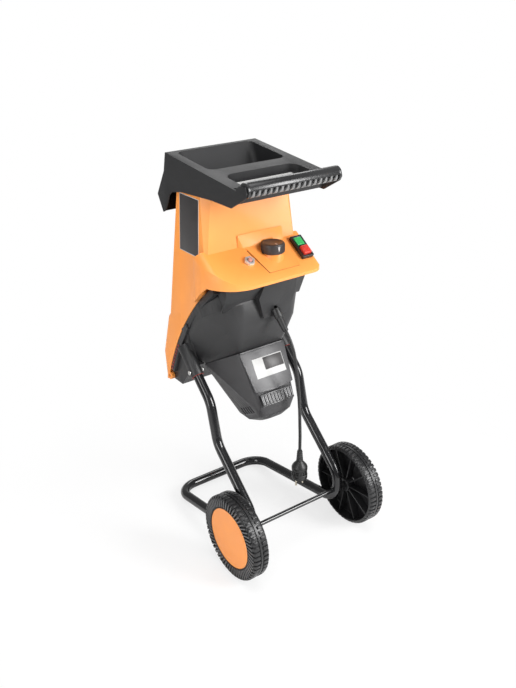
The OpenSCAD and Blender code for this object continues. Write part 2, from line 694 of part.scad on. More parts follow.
// Cutter
module blade_spots() for (a = [0, 180]) rotate(a) translate([56, 0, 0]) children();
module blade_disc() color(steel) at_shaft() difference() {
    rod([-disc_t / 2, disc_t / 2], disc_d);
    rod([-disc_t, disc_t], shaft_d + eps);
    blade_spots() for (x = [-16, 16]) translate([x, 8, 0]) rod([-disc_t, disc_t], screw_d + eps);
    blade_spots() translate([-28, -16, -disc_t]) cube([56, 8, 2 * disc_t]);
}
module blades() color(steel) at_shaft() blade_spots() difference() {
    translate([-28, -8, disc_t / 2 + eps]) cube([56, 26, blade_t]);
    for (x = [-16, 16]) translate([x, 8, 0]) rod([0, 20], screw_d + eps);
}
module blade_bolts() color(black) at_shaft() blade_spots() for (x = [-16, 16]) translate([x, 8, 0]) {
    rod([-disc_t / 2 - 4, blade_top - 0.5], screw_d);
    rod([-disc_t / 2 - 4, -disc_t / 2 - eps], 2 * screw_d);
}
module disc_bolt() color(steel) at_shaft() {
    rod([disc_t / 2 + eps, disc_t / 2 + 2.5], shaft_d + 14);
    translate([0, 0, disc_t / 2 + 2.5 - eps]) cylinder(d = shaft_d + 6, h = 5, $fn = 6);
}

// Upper housing
function column_ring(z, inset) = let (w = column_half(z) - inset, y = column_y(z) + [inset, -inset],
    cut = column_cut(z))
    [[-w, y[1]], [-w, y[0] + cut], [cut - w, y[0]], [w - cut, y[0]], [w, y[0] + cut], [w, y[1]]];
module column_outline(z, inset) polygon(column_ring(z, inset));
// The column between two heights, with front corners that sharpen down to the joint
module column_block(low, high, inset) {
    levels = [low, joint_z, high];
    polyhedron([for (z = levels, p = column_ring(z, inset)) [p[0], p[1], z]], concat(
        [[0, 1, 2, 3, 4, 5], [17, 16, 15, 14, 13, 12]],
        [for (i = [0, 6], k = [0:5]) [i + k, i + 6 + k, i + 6 + (k + 1) % 6, i + (k + 1) % 6]]));
}
module hood_slab(s, inset) translate([0, 0, s[0]]) linear_extrude(slice)
    rounded([inset - column_half(s[0]), column_half(s[0]) - inset], [hood_front, s[1] - inset],
        hood_corner, $fn = 32);
module shelf_shape(inset) intersection() {
    across(wide) polygon([[cheek_back, 560], [cheek_back, cheek_low], shelf_back + [0, -inset],
        shelf_front + [inset / 2, -inset], lip + [inset, -inset / 2], [lip[0] + inset, 560]]);
    linear_extrude(tall)
        rounded([inset - shelf_w / 2, shelf_w / 2 - inset], [lip[0] + inset, cheek_back], shelf_corner);
    linear_extrude(tall)
        rounded([inset - shelf_w / 2, shelf_w], [lip[0] + inset, 2 * cheek_back], shelf_sweep);
    at_shelf([0, 0]) rotate([90, 0, 0]) linear_extrude(wide, center = true)
        rounded([inset - shelf_w / 2, shelf_w / 2 - inset], [-wide / 2, -inset], shelf_round - inset);
    linear_extrude(tall) polygon([[-shelf_w / 2, 0], [-shelf_w / 2, cheek_front],
        [10 - column_w / 2, cheek_back], [column_w / 2 - 10, cheek_back], [shelf_w / 2, cheek_front],
        [shelf_w / 2, 0]]);
}
module hood_room() hull() {
    for (s = hood) hood_slab(s, wall);
    hood_slab([column_low - 2, hood_back], wall);
}
module hopper_bosses() for (x = [-fixing_x, fixing_x], y = fixing_y) translate([x, y, 0]) children();
module upper_housing() color(orange) difference() {
    union() {
        difference() {
            union() {
                column_block(column_low, column_top, 0);
                hull() {
                    for (s = hood) hood_slab(s, 0);
                    hood_slab([column_low, hood_back], 0);
                }
                shelf_shape(0);
            }
            shelf_room();
            column_block(column_low - 1, column_top + 1, wall);
            hood_room();
            across(wide) below_joint(-joint_gap / 2);
            translate([-wide / 2, 0, 0]) cube([wide, 2 * wide, column_low + 4]);
        }
        hopper_bosses() rod([column_top - tab_t, column_top - eps], 12);
        intersection() {
            shelf_shape(0);
            at_knob() rod([knob_seat - wall, tall], pocket_d + 2 * wall);
            translate([0, -eps, 0]) cube([wide, column_y(knob_seat)[0], tall]);
        }
        hinge_line() rod([ear_x, ear_x + ear_t], ear_d);
    }
    translate([-discharge_w / 2, hood_back - 40, 0]) cube([discharge_w, wide, discharge_top]);
    hinge_line() rod([ear_x - 1, ear_x + 20], hinge_pin_d + 2 * run_gap);
    hopper_bosses() rod([column_top - 2 * tab_t, column_top + 1], screw_d);
    at_knob() rod([joint_z, knob_base], bolt_d + 2);
    at_knob() rod([knob_seat, knob_clear], pocket_d);
    at_shelf(switch_at) translate([0, 0, -switch_deep / 2])
        cube([switch_neck[0] + 2 * fit_gap, switch_neck[1] + 2 * fit_gap, switch_deep + 10], center = true);
    at_shelf(reset_at) rod([-10, 10], 12);
}
module shelf_room() difference() {
    shelf_shape(wall);
    translate([-wide / 2, column_y(shelf_back[1])[0], 0]) cube([wide, wide, tall]);
}

// Console around the locking knob
module knob_console() color(orange) difference() {
    union() {
        difference() {
            intersection() {
                across(wide) polygon([[console_front, shelf_z(console_front) + eps], [149, 666],
                    [console_back, console_top], [console_back, shelf_z(console_back) + eps]]);
                linear_extrude(tall) polygon([[console_x[0], console_back],
                    [console_x[0] + console_step[0], console_back - console_step[1]],
                    [console_front_x[0], console_front], [console_front_x[1], console_front],
                    [console_x[1], console_back]]);
            }
            at_knob() rod([knob_seat, knob_clear], pocket_d);
        }
        intersection() {
            at_knob() rod([joint_z, knob_seat], knob_d - 4);
            across(wide) polygon([[console_front, shelf_z(console_front) + eps], [console_front, tall],
                [console_back, tall], [console_back, shelf_z(console_back) + eps]]);
        }
    }
    at_knob() rod([joint_z, tall], bolt_d + 2 * fit_gap);
}
module at_knob() translate([knob_at[0], knob_at[1], 0]) children();
module lock_knob() color(black) at_knob() difference() {
    rod([knob_base, knob_base + knob_h], knob_d);
    rod([knob_base - 1, knob_base + knob_h - 6], bolt_d + eps);
}
module lock_bolt() color(steel) at_knob() rod([bolt_low, knob_base + knob_h - 6 - eps], bolt_d);

// Switch and overload reset
module at_switch() at_shelf(switch_at) children();
module button_hole(at) translate([0, at, 0])
    cube([button_w + 2 * button_gap, button_l + 2 * button_gap, 60], center = true);
module switch_body() color(black) at_switch() difference() {
    union() {
        translate([-switch_w / 2, -switch_l / 2, eps]) cube([switch_w, switch_l, switch_h]);
        translate([-switch_neck[0] / 2, -switch_neck[1] / 2, -switch_deep])
            cube([switch_neck[0], switch_neck[1], switch_deep + 1]);
    }
    intersection() {
        union() {
            button_hole(start_at);
            button_hole(stop_at);
        }
        translate([-switch_w, -switch_l, switch_floor]) cube([2 * switch_w, 2 * switch_l, 60]);
    }
}
module button(at, top) at_switch() translate([-button_w / 2, at - button_l / 2, button_low])
    cube([button_w, button_l, top - button_low]);
module start_button() color(green) button(start_at, switch_h + 1);
module stop_button() color(red) button(stop_at, switch_h + 6);
module breaker() color(black) at_shelf(reset_at) difference() {
    union() {
        translate([-breaker_w / 2, -breaker_l / 2, -wall - fit_gap - breaker_deep])
            cube([breaker_w, breaker_l, breaker_deep]);
        rod([-wall - 1, nut_h - 0.5], 11.4);
    }
    rod([-9, 20], reset_d + 2 * button_gap);
}
module breaker_nut() color(steel) at_shelf(reset_at) difference() {
    translate([0, 0, eps]) cylinder(d = nut_w, h = nut_h, $fn = 6);
    rod([-1, 20], 11.4 + 2 * fit_gap);
}
module reset_button() color(red) at_shelf(reset_at) rod([-9 + 2.5 + fit_gap, nut_h + 4], reset_d);

// Hopper
module hopper_funnel(inset) {
    hull() {
        at_rim() translate([0, 0, -slice]) linear_extrude(slice)
            rounded([-mouth_w / 2 - inset, mouth_w / 2 + inset], mouth_y + [-inset, inset],
                mouth_corner, $fn = 32);
        translate([0, 0, column_top + 4]) linear_extrude(slice)
            rounded([-throat_w / 2 - inset, throat_w / 2 + inset], throat_y + [-inset, inset], 10, $fn = 32);
    }
    translate([0, 0, throat_z]) linear_extrude(column_top + 4 - throat_z + slice)
        rounded([-throat_w / 2 - inset, throat_w / 2 + inset], throat_y + [-inset, inset], 10, $fn = 32);
}
module hopper() color(charcoal) difference() {
    union() {
        both_sides() translate([(hopper_w - hopper_wall) / 2, 0, 0]) across(hopper_wall)
            polygon(hopper_side);
        across(hopper_w - 1) polygon(strip(hopper_back, -hopper_wall));
        across(hopper_w - 1) polygon(strip(hopper_front, -hopper_wall));
        at_rim() translate([0, 0, -tray_depth]) linear_extrude(tray_depth - 1)
            rounded([-tray_w / 2 - hopper_wall, tray_w / 2 + hopper_wall], tray_y + [0, hopper_wall],
                hopper_wall);
        translate([0, 0, seat_z]) linear_extrude(hopper_wall) difference() {
            translate([-hopper_w / 2 + 1, column_front + 1]) square([hopper_w - 2, column_depth - 1]);
            translate([-throat_w / 2, throat_y[0]]) square([throat_w, throat_y[1] - throat_y[0]]);
        }
        hopper_funnel(hopper_wall);
        hopper_bosses() rod([seat_z, seat_z + 22], 10);
    }
    hopper_funnel(0);
    at_rim() translate([-wide / 2, -rim_cut, 0]) cube([wide, wide, wide]);
    at_rim() translate([0, 0, hopper_wall - tray_depth]) linear_extrude(tray_depth)
        rounded([-tray_w / 2, tray_w / 2], tray_y + [-tray_open, 0], tray_corner);
    hopper_bosses() rod([seat_z - 1, seat_z + 18], screw_d - 1);
}
module hopper_screws() color(steel) hopper_bosses() {
    rod([flange_top - flange_t - 3, seat_z + 16], screw_d - 1 - eps);
    rod([flange_top - flange_t - 3, flange_top - flange_t - eps], 2 * screw_d - 1);
}
module carry_handle() color(black) translate([0, handle_at[0], handle_at[1]]) rotate([0, 90, 0])
    rod([-handle_len / 2, handle_len / 2], handle_d);

// Feed chute with the counter blade at its lower end
module chute_shape(inset, over) hull() {
    translate([0, 0, flange_top - slice + over]) linear_extrude(slice)
        rounded([-throat_w / 2 - inset, throat_w / 2 + inset], throat_y + [-inset, inset], 10, $fn = 32);
    at_shaft() translate([0, 0, chute_exit_t - over]) linear_extrude(slice)
        rounded([-chute_exit_w / 2 - inset, chute_exit_w / 2 + inset], chute_exit_v + [-inset, inset],
            6, $fn = 32);
}
module feed_chute() color(charcoal) difference() {
    union() {
        chute_shape(wall, 0);
        translate([0, 0, flange_top - flange_t]) linear_extrude(flange_t - eps)
            column_outline(column_top, wall + 1);
    }
    chute_shape(0, 1);
    hopper_bosses() rod([column_top - 20, column_top], screw_d);
}
module at_chute_back() at_shaft() translate([0, chute_exit_v[1] - fit_gap, chute_exit_t])
    rotate([atan2(chute_exit_v[1] - chute_back[0], chute_back[1] - chute_exit_t), 0, 0]) children();
module counter_blade() color(steel) at_chute_back() translate([-50, -6, 2]) cube([100, 6, 24]);
module counter_blade_screws() color(black) at_chute_back() for (x = [-30, 30])
    translate([x, -6 - eps, 14]) rotate([90, 0, 0]) cylinder(d = 8, h = 3);

placed() stand_tube();
placed() axle();
placed() axle_spacers();
placed() push_nuts();
placed() left_wheel();
placed() right_wheel();
placed() left_hub_cap();
placed() right_hub_cap();
placed() leg_bolts();
placed() lower_housing();
placed() motor_cover();
placed() cover_screws();
placed() lock_keeper();
placed() interlock_switch();
placed() hinge_pins();
placed() strain_relief();
placed() power_cord();
placed() plug_body();
placed() plug_pins();
placed() stator();
placed() brush_holders();
placed() motor_end_plate();
placed() upper_bearing();
placed() lower_bearing();
placed() motor_shaft();
placed() armature();
placed() commutator();
placed() cooling_fan();
placed() blade_disc();
placed() blades();
placed() blade_bolts();
placed() disc_bolt();
placed() upper_housing();
placed() hopper();
placed() carry_handle();
placed() feed_chute();
placed() counter_blade();
placed() counter_blade_screws();
placed() hopper_screws();
placed() knob_console();
placed() switch_body();
placed() start_button();
placed() stop_button();
placed() breaker();
placed() breaker_nut();
placed() reset_button();
placed() lock_knob();
placed() lock_bolt();
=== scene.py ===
import math

import bmesh
import bpy
from mathutils import Matrix, Vector


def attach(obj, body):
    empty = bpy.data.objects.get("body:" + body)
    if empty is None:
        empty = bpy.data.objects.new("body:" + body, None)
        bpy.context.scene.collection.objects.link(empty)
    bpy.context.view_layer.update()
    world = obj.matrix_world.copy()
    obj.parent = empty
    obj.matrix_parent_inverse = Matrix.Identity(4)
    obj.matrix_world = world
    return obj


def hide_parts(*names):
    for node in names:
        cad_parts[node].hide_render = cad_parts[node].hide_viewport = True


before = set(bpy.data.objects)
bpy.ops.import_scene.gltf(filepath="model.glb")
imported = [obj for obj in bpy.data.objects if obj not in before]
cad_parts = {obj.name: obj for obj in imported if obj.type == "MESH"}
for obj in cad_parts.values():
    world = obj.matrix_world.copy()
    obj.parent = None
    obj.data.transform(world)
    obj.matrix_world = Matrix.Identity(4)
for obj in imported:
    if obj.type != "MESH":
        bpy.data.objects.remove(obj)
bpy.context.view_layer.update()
scene = bpy.context.scene
scene.view_settings.view_transform = "Standard"

# Viewpoint: a studio camera at the front left corner, a little above the hopper and looking down,
# with a moderate lens. Depths are measured from the wheel axle, mid in front of the origin.
mid = 0.121
azimuth, elevation, roll = (math.radians(a) for a in (-35.574, 25.840, -0.606))
ground_way = Vector((math.sin(azimuth), -math.cos(azimuth), 0))
back = ground_way * math.cos(elevation) + Vector((0, 0, math.sin(elevation)))
level = Vector((math.cos(azimuth), math.sin(azimuth), 0))
upright = back.cross(level)
right = level * math.cos(roll) + upright * math.sin(roll)
up = upright * math.cos(roll) - level * math.sin(roll)
camera = bpy.data.objects.new("camera", bpy.data.cameras.new("camera"))
camera.data.lens = 41.88
camera.data.sensor_width = 36
camera_at = Vector((-0.9048, -1.1283 - mid, 1.1994))
camera.matrix_world = Matrix.Translation(camera_at) @ Matrix((right, up, back)).transposed().to_4x4()
scene.collection.objects.link(camera)
scene.camera = camera


# Studio: a plain white sweep that keeps a soft shadow, a large softbox overhead, one at the front
# right, a narrow one at the left, one behind that edges the rims, and an even white surround.
def node_material(name):
    material = bpy.data.materials.new(name)
    material.use_nodes = True
    nodes = material.node_tree.nodes
    return material, nodes, material.node_tree.links, nodes["Principled BSDF"]


def camera_like_rays(nodes, links):
    path = nodes.new("ShaderNodeLightPath")
    shown = nodes.new("ShaderNodeMath")
    shown.operation = "MAXIMUM"
    links.new(path.outputs["Is Camera Ray"], shown.inputs[0])
    links.new(path.outputs["Is Transmission Ray"], shown.inputs[1])
    return shown.outputs[0]


world = bpy.data.worlds.new("studio")
scene.world = world
world.use_nodes = True
world_nodes, world_links = world.node_tree.nodes, world.node_tree.links
surround = world_nodes["Background"]
surround.inputs["Color"].default_value = (1, 1, 1, 1)
surround.inputs["Strength"].default_value = 0.30
white = world_nodes.new("ShaderNodeBackground")
white.inputs["Color"].default_value = (1, 1, 1, 1)
white.inputs["Strength"].default_value = 1.0
choice = world_nodes.new("ShaderNodeMixShader")
world_links.new(camera_like_rays(world_nodes, world_links), choice.inputs[0])
world_links.new(surround.outputs[0], choice.inputs[1])
world_links.new(white.outputs[0], choice.inputs[2])
world_links.new(choice.outputs[0], world_nodes["World Output"].inputs["Surface"])

sweep_bm = bmesh.new()
bmesh.ops.create_grid(sweep_bm, x_segments=2, y_segments=2, size=6)
sweep_mesh = bpy.data.meshes.new("sweep")
sweep_bm.to_mesh(sweep_mesh)
sweep_bm.free()
sweep = bpy.data.objects.new("sweep", sweep_mesh)
scene.collection.objects.link(sweep)
sweep_white, sweep_nodes, sweep_links, sweep_shader = node_material("sweep_white")
sweep_shader.inputs["Base Color"].default_value = (0.92, 0.92, 0.92, 1)
sweep_shader.inputs["Roughness"].default_value = 0.6
sweep_shader.inputs["Specular IOR Level"].default_value = 0.1
sweep_place = sweep_nodes.new("ShaderNodeTexCoord")
sweep_reach = sweep_nodes.new("ShaderNodeVectorMath")
sweep_reach.operation = "LENGTH"
sweep_links.new(sweep_place.outputs["Object"], sweep_reach.inputs[0])
sweep_fade = sweep_nodes.new("ShaderNodeMapRange")
sweep_fade.interpolation_type = "SMOOTHSTEP"
sweep_fade.inputs["From Min"].default_value = 0.2
sweep_fade.inputs["From Max"].default_value = 0.75
sweep_fade.inputs["To Min"].default_value = 0.72
sweep_links.new(sweep_reach.outputs["Value"], sweep_fade.inputs["Value"])
sweep_seen = sweep_nodes.new("ShaderNodeMath")
sweep_seen.operation = "MULTIPLY"
sweep_links.new(camera_like_rays(sweep_nodes, sweep_links), sweep_seen.inputs[0])
sweep_links.new(sweep_fade.outputs["Result"], sweep_seen.inputs[1])
sweep_glow = sweep_nodes.new("ShaderNodeEmission")
sweep_glow.inputs["Color"].default_value = (1, 1, 1, 1)
sweep_mix = sweep_nodes.new("ShaderNodeMixShader")
sweep_links.new(sweep_seen.outputs[0], sweep_mix.inputs[0])
sweep_links.new(sweep_shader.outputs[0], sweep_mix.inputs[1])
sweep_links.new(sweep_glow.outputs[0], sweep_mix.inputs[2])
sweep_links.new(sweep_mix.outputs[0], sweep_nodes["Material Output"].inputs["Surface"])
sweep_mesh.materials.append(sweep_white)


def softbox(name, place, aim, size, power):
    lamp = bpy.data.lights.new(name, "AREA")
    lamp.shape = "RECTANGLE"
    lamp.size, lamp.size_y = size
    lamp.energy = power
    holder = bpy.data.objects.new(name, lamp)
    direction = Vector(aim) - Vector(place)
    holder.matrix_world = Matrix.Translation(place) @ direction.to_track_quat("-Z", "Y").to_matrix().to_4x4()
    scene.collection.objects.link(holder)


softbox("top_box", (-0.3, -0.4, 2.5), (0, 0, 0.4), (1.6, 1.6), 28)
softbox("front_box", (1.2, -2.1, 1.5), (0, 0, 0.7), (0.9, 1.4), 74)
softbox("left_box", (-2.1, -0.5, 1.0), (0, 0, 0.5), (0.6, 1.7), 19)
softbox("back_box", (1.3, 1.8, 1.9), (0, 0, 0.8), (1.2, 0.8), 11)


# Stand: one length of steel tube with two knees in each leg, an elbow that carries the axle and a
# closed back bar, bent cold and powder coated gloss black.
noise_span = (0.3, 0.7)


def shade(nodes, links, noise, shader, dark, light, rough, rough_span):
    colours = nodes.new("ShaderNodeValToRGB")
    for stop, position, colour in zip(colours.color_ramp.elements, noise_span, (dark, light)):
        stop.position = position
        stop.color = (*colour, 1)
    links.new(noise.outputs["Fac"], colours.inputs["Fac"])
    links.new(colours.outputs["Color"], shader.inputs["Base Color"])
    sheen = nodes.new("ShaderNodeMapRange")
    sheen.inputs["From Min"].default_value = rough_span[0]
    sheen.inputs["From Max"].default_value = rough_span[1]
    sheen.inputs["To Min"].default_value = rough[0]
    sheen.inputs["To Max"].default_value = rough[1]
    links.new(noise.outputs["Fac"], sheen.inputs["Value"])
    links.new(sheen.outputs["Result"], shader.inputs["Roughness"])


def emboss(nodes, links, noise, shader, strength, depth):
    bump = nodes.new("ShaderNodeBump")
    bump.inputs["Strength"].default_value = strength
    bump.inputs["Distance"].default_value = depth
    links.new(noise.outputs["Fac"], bump.inputs["Height"])
    links.new(bump.outputs["Normal"], shader.inputs["Normal"])


def soft_finish(name, dark, light, rough, tone_scale, grain_scale, grain_depth, **sockets):
    material, nodes, links, shader = node_material(name)
    place = nodes.new("ShaderNodeTexCoord")
    tone = nodes.new("ShaderNodeTexNoise")
    tone.inputs["Scale"].default_value = tone_scale
    tone.inputs["Detail"].default_value = 4
    links.new(place.outputs["Object"], tone.inputs["Vector"])
    shade(nodes, links, tone, shader, dark, light, rough, noise_span)
    grain = nodes.new("ShaderNodeTexNoise")
    grain.inputs["Scale"].default_value = grain_scale
    grain.inputs["Detail"].default_value = 3
    links.new(place.outputs["Object"], grain.inputs["Vector"])
    emboss(nodes, links, grain, shader, 0.5, grain_depth)
    for socket, value in sockets.items():
        shader.inputs[socket.replace("_", " ")].default_value = value
    return material


def add_piece(name, bm, body, slot, material, *nodes, sharp=35):
    bmesh.ops.remove_doubles(bm, verts=bm.verts, dist=1e-6)
    bmesh.ops.recalc_face_normals(bm, faces=bm.faces)
    mesh = bpy.data.meshes.new(name)
    bm.to_mesh(mesh)
    bm.free()
    mesh.polygons.foreach_set("use_smooth", [True] * len(mesh.polygons))
    mesh.set_sharp_from_angle(angle=math.radians(sharp))
    mesh.materials.append(material)
    piece = bpy.data.objects.new(name, mesh)
    scene.collection.objects.link(piece)
    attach(piece, body)
    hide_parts(*nodes)
    return piece


gloss_black = soft_finish("gloss_black_coat", (0.006, 0.006, 0.007), (0.010, 0.010, 0.011),
    (0.14, 0.2), 25, 420, 0.00035, Specular_IOR_Level=0.35, Coat_Weight=0.45, Coat_Roughness=0.05)


def bent_line(corners, radii, step=math.radians(5)):
    line = [corners[0]]
    for before, corner, after, radius in zip(corners, corners[1:], corners[2:], radii):
        into, out = (corner - before).normalized(), (after - corner).normalized()
        turn = into.angle(out)
        reach = radius * math.tan(turn / 2)
        axis = into.cross(out).normalized()
        hub = corner - into * reach + axis.cross(into) * radius
        arm = corner - into * reach - hub
        count = max(2, round(turn / step))
        line += [hub + Matrix.Rotation(turn * n / count, 3, axis) @ arm for n in range(count + 1)]
    return line + [corners[-1]]


def tube_mesh(name, line, radius):
    curve = bpy.data.curves.new(name, "CURVE")
    curve.dimensions = "3D"
    curve.bevel_depth = radius
    curve.bevel_resolution = 8
    curve.use_fill_caps = True
    run = curve.splines.new("POLY")
    run.points.add(len(line) - 1)
    for knot, spot in zip(run.points, line):
        knot.co = (*spot, 1)
    holder = bpy.data.objects.new(name, curve)
    bm = bmesh.new()
    bm.from_mesh(bpy.data.meshes.new_from_object(holder))
    bpy.data.objects.remove(holder)
    bpy.data.curves.remove(curve)
    return bm


leg_x, tube_radius = 0.120, 0.011
leg_side = [(244.8, 430.1), (147, 337.5), (123, 245), (-68.6, 75.27), (316, 11)]
stand_corners = [Vector((-leg_x, y / 1000 - mid, z / 1000)) for y, z in leg_side]
stand_corners += [Vector((leg_x, y / 1000 - mid, z / 1000)) for y, z in reversed(leg_side)]
leg_bends = [0.060, 0.060, 0.054, 0.048]
stand_bm = tube_mesh("stand", bent_line(stand_corners, leg_bends + leg_bends[::-1]), tube_radius)
add_piece("stand", stand_bm, "chassis", "stand_paint", gloss_black, "stand_tube")


# Axle and fixings: a plain rod pushed through both elbows, moulded spacers, and zinc plated push nuts
# and leg bolts that hold the wheels on and the legs in their sockets.
def dress(node, material, bevel=0.0, segments=2, crease=30):
    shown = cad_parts[node]
    shown.data.polygons.foreach_set("use_smooth", [True] * len(shown.data.polygons))
    shown.data.materials.clear()
    shown.data.materials.append(material)
    weld = shown.modifiers.new("weld", "WELD")
    weld.merge_threshold = 1e-6
    if bevel:
        flat = shown.modifiers.new("flat", "DECIMATE")
        flat.decimate_type = "DISSOLVE"
        flat.angle_limit = math.radians(0.5)
        edge = shown.modifiers.new("edge", "BEVEL")
        edge.width = bevel / 1000
        edge.segments = segments
        edge.limit_method = "ANGLE"
        edge.angle_limit = math.radians(crease)
        edge.harden_normals = True
    split = shown.modifiers.new("split", "EDGE_SPLIT")
    split.split_angle = math.radians(crease)
    split.use_edge_sharp = False


def brushed_metal(name, dark, light, rough, stretch, metallic=1.0):
    material, nodes, links, shader = node_material(name)
    place = nodes.new("ShaderNodeTexCoord")
    turn = nodes.new("ShaderNodeMapping")
    turn.inputs["Scale"].default_value = stretch
    links.new(place.outputs["Object"], turn.inputs["Vector"])
    lines = nodes.new("ShaderNodeTexNoise")
    lines.inputs["Scale"].default_value = 1.0
    lines.inputs["Detail"].default_value = 5
    links.new(turn.outputs["Vector"], lines.inputs["Vector"])
    shade(nodes, links, lines, shader, dark, light, rough, (0.0, 1.0))
    emboss(nodes, links, lines, shader, 0.25, 0.0001)
    shader.inputs["Metallic"].default_value = metallic
    return material


satin_black = soft_finish("satin_black", (0.011, 0.011, 0.011), (0.018, 0.018, 0.018),
    (0.30, 0.40), 40, 1800, 0.0002)
zinc = brushed_metal("zinc_plate", (0.50, 0.50, 0.49), (0.68, 0.68, 0.66), (0.24, 0.36), (260, 260, 260))
dress("axle", gloss_black)
dress("axle_spacers", satin_black, 0.5)
dress("push_nuts", zinc, 0.4)
dress("leg_bolts", zinc, 0.6)


# Wheels: hard moulded wheels with two rows of tread lugs and fine slanted ribs on the outer wall. The
# inner side is a deep open dish with thin ribs, and a flat orange cap snaps into the outer face.
def turned(bm, profile, place, steps=64, closed=False):
    old = set(bm.verts)
    verts = [bm.verts.new((r / 1000, 0, z / 1000)) for r, z in profile]
    ends = verts[1:] + verts[:1] if closed else verts[1:]
    edges = [bm.edges.new(pair) for pair in zip(verts, ends)]
    bmesh.ops.spin(bm, geom=verts + edges, axis=(0, 0, 1), cent=(0, 0, 0), angle=math.tau, steps=steps,
        use_merge=True)
    bmesh.ops.transform(bm, matrix=place, verts=[v for v in bm.verts if v not in old])


def merge(bm, part, place):
    bmesh.ops.transform(part, matrix=place, verts=part.verts)
    bmesh.ops.recalc_face_normals(part, faces=part.faces)
    mesh = bpy.data.meshes.new("part")
    part.to_mesh(mesh)
    part.free()
    bm.from_mesh(mesh)
    bpy.data.meshes.remove(mesh)


def around(part, count, turn=0.0):
    bmesh.ops.rotate(part, verts=part.verts, cent=(0, 0, 0), matrix=Matrix.Rotation(turn, 3, "Z"))
    bmesh.ops.spin(part, geom=part.verts[:] + part.edges[:] + part.faces[:], axis=(0, 0, 1), cent=(0, 0, 0),
        angle=math.tau * (count - 1) / count, steps=count - 1, use_duplicate=True)
    return part


def prism(outline, depth, rounding, segments=2):
    bm = bmesh.new()
    face = bm.faces.new([bm.verts.new((a / 1000, -depth / 2000, b / 1000)) for a, b in outline])
    made = bmesh.ops.extrude_face_region(bm, geom=[face])
    far = [v for v in made["geom"] if isinstance(v, bmesh.types.BMVert)]
    bmesh.ops.translate(bm, vec=(0, depth / 1000, 0), verts=far)
    bmesh.ops.recalc_face_normals(bm, faces=bm.faces)
    keen = [e for e in bm.edges if e.calc_face_angle(0) > math.radians(30)]
    if rounding:
        bmesh.ops.bevel(bm, geom=keen, offset=rounding / 1000, segments=segments, profile=0.5, affect="EDGES",
            material=-1, clamp_overlap=True)
    return bm


def slab(size, rounding, segments=2):
    x, y, z = size
    return prism([(-x / 2, -z / 2), (x / 2, -z / 2), (x / 2, z / 2), (-x / 2, z / 2)], y, rounding, segments)


wheel_black = soft_finish("wheel_black", (0.011, 0.011, 0.012), (0.019, 0.019, 0.020),
    (0.28, 0.40), 35, 1500, 0.0003)
# The wall ribs are the same black moulding as the wheel; this lighter grey is a painted highlight where light
# catches the ribs.
rib_painted_highlight = soft_finish("rib_painted_highlight", (0.085, 0.085, 0.087), (0.115, 0.115, 0.118),
    (0.30, 0.42), 60, 1500, 0.0002)
cap_orange = soft_finish("cap_orange", (0.90, 0.31, 0.065), (0.95, 0.34, 0.075),
    (0.36, 0.44), 18, 1600, 0.0002)
wheel_x, wheel_z = 0.1595, 0.095
bore_r, tread_r = 5.12, 92
wheel_line = [(bore_r, -18), (15, -18), (16, -17), (16, 2.5), (17.5, 4), (84, 4), (85.9, 2.2), (85.9, -18.8),
    (86.8, -19.9), (88.2, -19.9), (90, -19), (91.2, -17), (tread_r, -15), (tread_r, -2.8), (94.2, -2.4),
    (94.2, 2.4), (tread_r, 2.8), (tread_r, 15), (91, 16.2), (88.8, 16.2), (86.5, 15.6), (70, 15.6),
    (68.8, 19.4), (67.9, 19.2), (67.75, 18.4), (67.75, 15), (63.7, 15), (63.7, 8), (bore_r, 8)]
cap_line = [(0, 18.3), (24, 18.4), (52, 18.7), (60, 18.9), (61.2, 18.5), (62.6, 18.5), (63.8, 18.9),
    (66.4, 18.7), (67.3, 17.9), (67.3, 15.1), (0, 15.1)]
tread_lugs, wall_ribs, web_ribs = 52, 60, 10
tread_pitch = math.tau / tread_lugs
for side, name in ((-1, "left"), (1, "right")):
    outward = Matrix.Rotation(side * math.pi / 2, 4, "Y")
    wheel_place = Matrix.Translation((side * wheel_x, -mid, wheel_z)) @ outward
    wheel_bm = bmesh.new()
    turned(wheel_bm, wheel_line, wheel_place, 96, closed=True)
    for row in (1, -1):
        lug_side = [(91.5, 4.2), (94.8, 4.5), (94.8, 13.8), (93.2, 17.4), (89.6, 19.5), (88.6, 17.5)]
        lug = prism([(r, z * row) for r, z in lug_side], 7.0, 0.6)
        merge(wheel_bm, around(lug, tread_lugs, tread_pitch / 2 if row > 0 else 0.0), wheel_place)
    wall_rib = slab((19.5, 3.0, 3.6), 0.6, 1)
    rib_slant = Matrix.Translation((0.0795, 0, 0.0181)) @ Matrix.Rotation(side * 0.3, 4, "Z")
    bmesh.ops.transform(wall_rib, matrix=rib_slant, verts=wall_rib.verts)
    rib_bm = bmesh.new()
    merge(rib_bm, around(wall_rib, wall_ribs), wheel_place)
    add_piece(name + "_wall_ribs", rib_bm, name + "_wheel", "wheel_plastic", rib_painted_highlight)
    web_rib = prism([(14, -14), (86.2, -14), (86.2, 5), (14, 5)], 2.2, 0.4, 1)
    merge(wheel_bm, around(web_rib, web_ribs, 0.2), wheel_place)
    add_piece(name + "_tyre", wheel_bm, name + "_wheel", "wheel_plastic", wheel_black, name + "_wheel")
    cap_bm = bmesh.new()
    turned(cap_bm, cap_line, wheel_place, 96)
    add_piece(name + "_cap", cap_bm, name + "_wheel", "orange_plastic", cap_orange, name + "_hub_cap")
